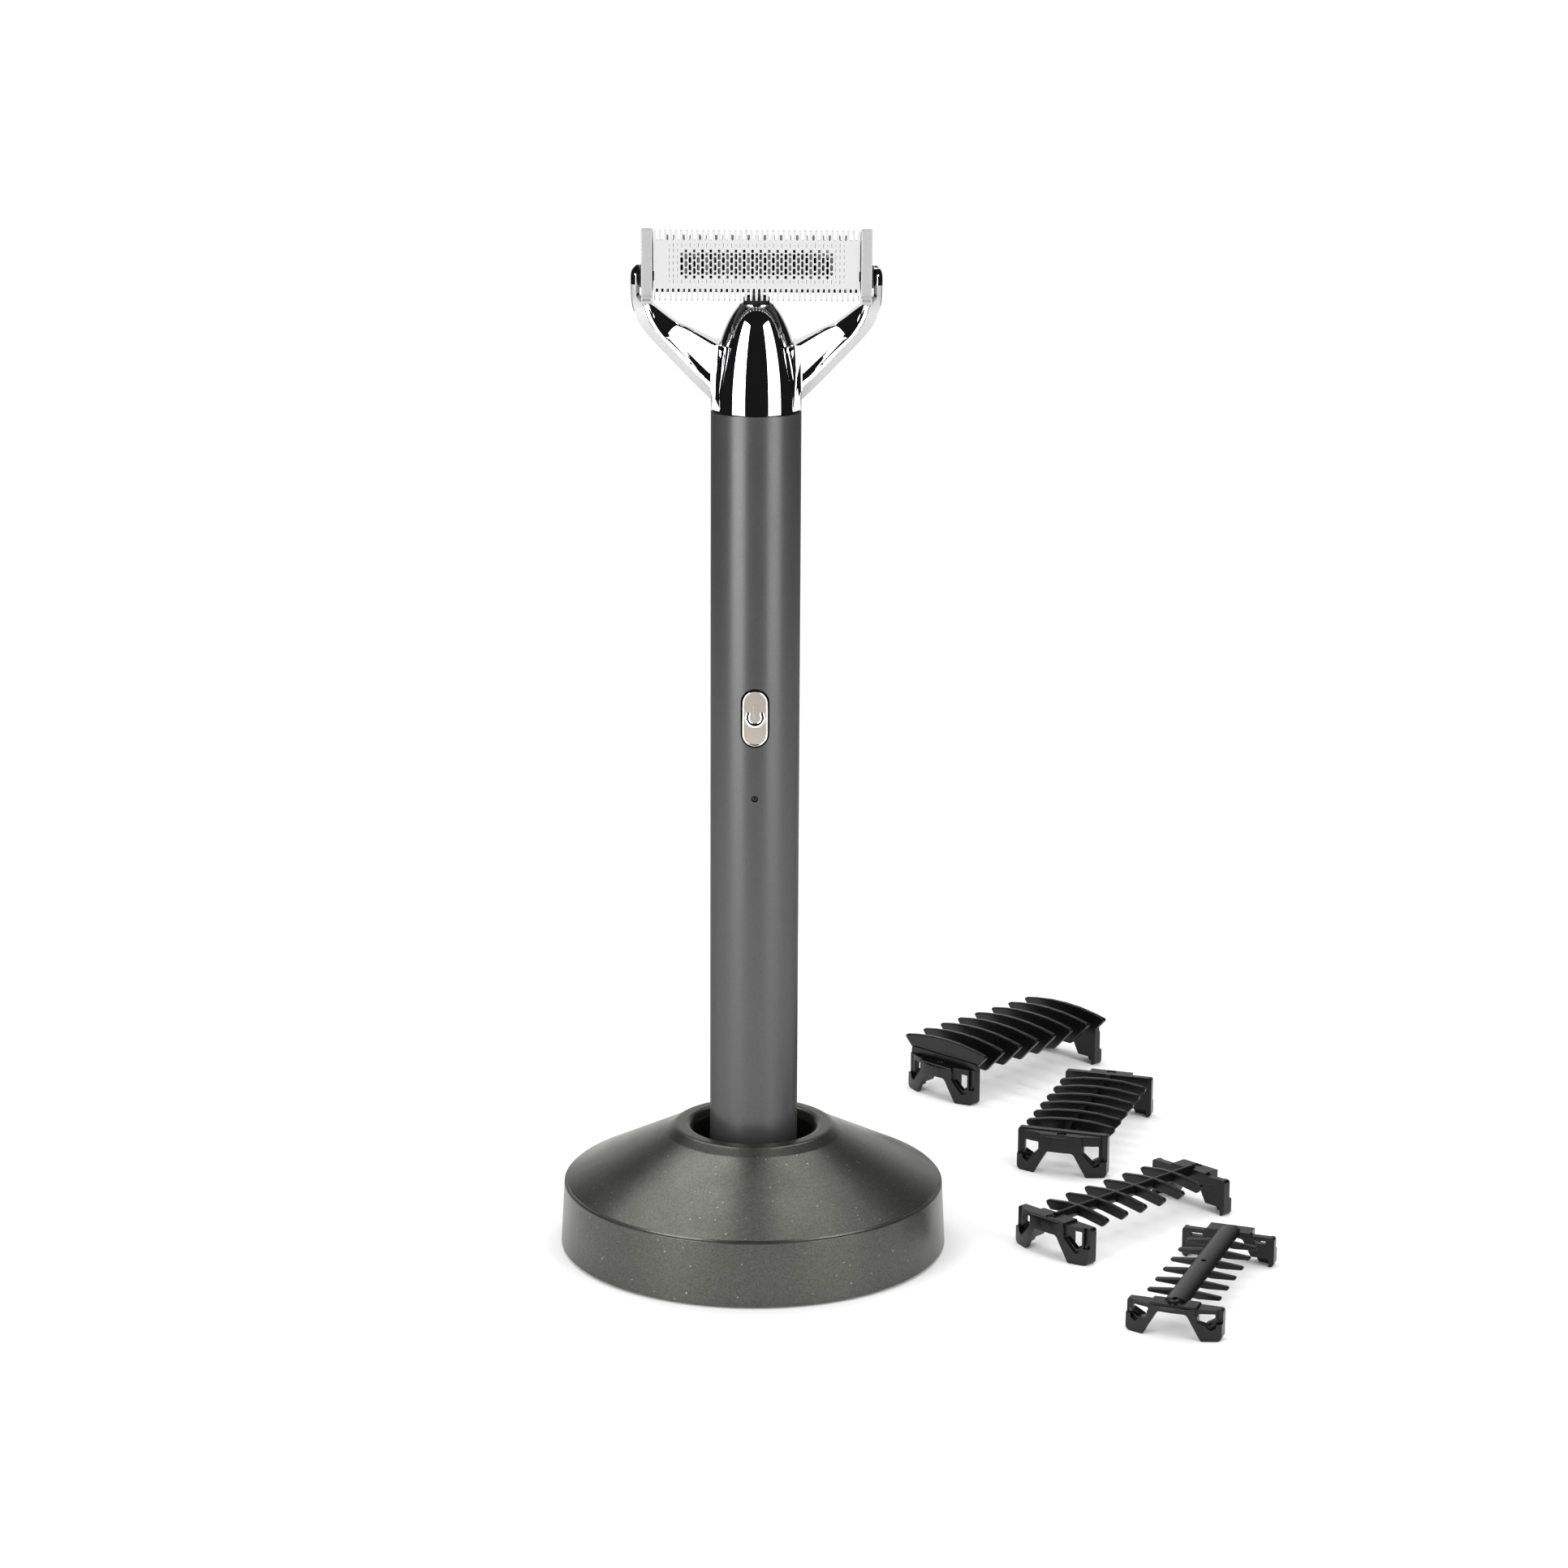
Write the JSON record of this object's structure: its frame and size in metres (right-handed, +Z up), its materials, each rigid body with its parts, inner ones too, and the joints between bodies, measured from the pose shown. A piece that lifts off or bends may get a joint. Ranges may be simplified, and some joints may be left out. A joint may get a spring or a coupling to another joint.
{
  "type": "beard trimmer",
  "caption": "Slim cordless beard trimmer with a pivoting T-shaped blade head on a chromed yoke, standing in a conical charging stand beside its comb guides.",
  "frame": {"origin": "centre of the charging stand's underside", "axes": "+Z up along the trimmer's handle, -Y the way the blades and the button face, +X to the right when the blades face the viewer"},
  "size_m": [0.131, 0.1698, 0.187],
  "materials": {
    "stand_paint": "satin warm grey paint with fine metallic flake",
    "satin_aluminium": "satin anodised, graphite grey",
    "chrome": "mirror polished plating",
    "satin_silver": "satin silver",
    "champagne": "satin with a polished rim",
    "blade_steel": "ground stainless steel",
    "spring_steel": "bright steel",
    "motor_steel": "zinc plated steel",
    "ballast_iron": "plain cast iron",
    "brass": "polished contacts",
    "black_plastic": "moulded, semi-matt",
    "comb_plastic": "moulded, semi-matt with a soft sheen",
    "grey_plastic": "moulded, matt",
    "rubber": "matt",
    "circuit_board": "green lacquered laminate",
    "battery_wrap": "blue shrink wrap",
    "smoked_lens": "dark translucent"
  },
  "bodies": {
    "stand": {"stand_shell": "stand_paint", "base_plate": "black_plastic", "foot_pad": "rubber", "ballast_weight": "ballast_iron", "socket_cup": "black_plastic", "charging_board": "circuit_board", "inlet_socket": "black_plastic", "contact_pin_left": "brass", "contact_pin_right": "brass", "base_screw_1": "spring_steel", "base_screw_2": "spring_steel", "base_screw_3": "spring_steel"},
    "handle": {"handle_tube": "satin_aluminium", "end_cap": "black_plastic", "end_cap_seal": "rubber", "charge_pad_left": "brass", "charge_pad_right": "brass", "chassis": "grey_plastic", "battery": "battery_wrap", "circuit_board": "circuit_board", "power_switch": "grey_plastic", "charge_led": "smoked_lens", "led_lens": "smoked_lens", "button_seal": "rubber", "motor": "motor_steel", "motor_mount": "grey_plastic", "motor_screw_left": "spring_steel", "motor_screw_right": "spring_steel", "nose_cone": "chrome", "nose_seal": "rubber", "yoke_arm_left": "chrome", "yoke_arm_right": "chrome", "lever_pivot_pin": "spring_steel", "drive_neck": "rubber"},
    "button": {"power_button": "champagne"},
    "rotor": {"motor_shaft": "spring_steel", "eccentric": "grey_plastic"},
    "lever": {"drive_lever": "grey_plastic"},
    "head": {"fixed_blade": "blade_steel", "head_housing": "black_plastic", "head_end_cap_left": "satin_silver", "head_end_cap_right": "satin_silver", "pivot_pin_left": "black_plastic", "pivot_pin_right": "black_plastic", "blade_spring": "spring_steel"},
    "cutter": {"moving_blade": "blade_steel", "cutter_carrier": "black_plastic"},
    "long_guide": {"comb_long": "comb_plastic"},
    "medium_guide": {"comb_medium": "comb_plastic"},
    "short_guide": {"comb_short": "comb_plastic"},
    "bare_guide": {"comb_bare": "comb_plastic"}
  },
  "joints": [
    {"name": "trimmer_lift", "type": "slide", "parent": "stand", "child": "handle", "axis": [0, 0, 1], "range_m": [0, 0.04]},
    {"name": "button_press", "type": "slide", "parent": "handle", "child": "button", "axis": [0, 1, 0], "range_m": [0, 0.0005], "stiffness_N_per_m": 1500, "springref_m": -0.0001},
    {"name": "motor_spin", "type": "hinge", "parent": "handle", "child": "rotor", "pos_m": [0, 0, 0.147], "axis": [0, 0, 1], "continuous": true},
    {"name": "lever_swing", "type": "hinge", "parent": "handle", "child": "lever", "pos_m": [0, 0, 0.163], "axis": [0, 1, 0], "range_deg": [-2.9, 2.9]},
    {"name": "head_pivot", "type": "hinge", "parent": "handle", "child": "head", "pos_m": [0, 0, 0.1782], "axis": [1, 0, 0], "range_deg": [-10, 10], "stiffness_Nm_per_rad": 0.02},
    {"name": "cutter_slide", "type": "slide", "parent": "head", "child": "cutter", "axis": [1, 0, 0], "range_m": [-0.00075, 0.00075]},
    {"name": "long_guide_lift", "type": "slide", "parent": "stand", "child": "long_guide", "axis": [0, 0, 1], "range_m": [0, 0.1]},
    {"name": "medium_guide_lift", "type": "slide", "parent": "stand", "child": "medium_guide", "axis": [0, 0, 1], "range_m": [0, 0.1]},
    {"name": "short_guide_lift", "type": "slide", "parent": "stand", "child": "short_guide", "axis": [0, 0, 1], "range_m": [0, 0.1]},
    {"name": "bare_guide_lift", "type": "slide", "parent": "stand", "child": "bare_guide", "axis": [0, 0, 1], "range_m": [0, 0.1]}
  ],
  "couplings": [
    {"joint": "lever_swing", "follows": "cutter_slide", "rad_per_m": 65.8}
  ]
}
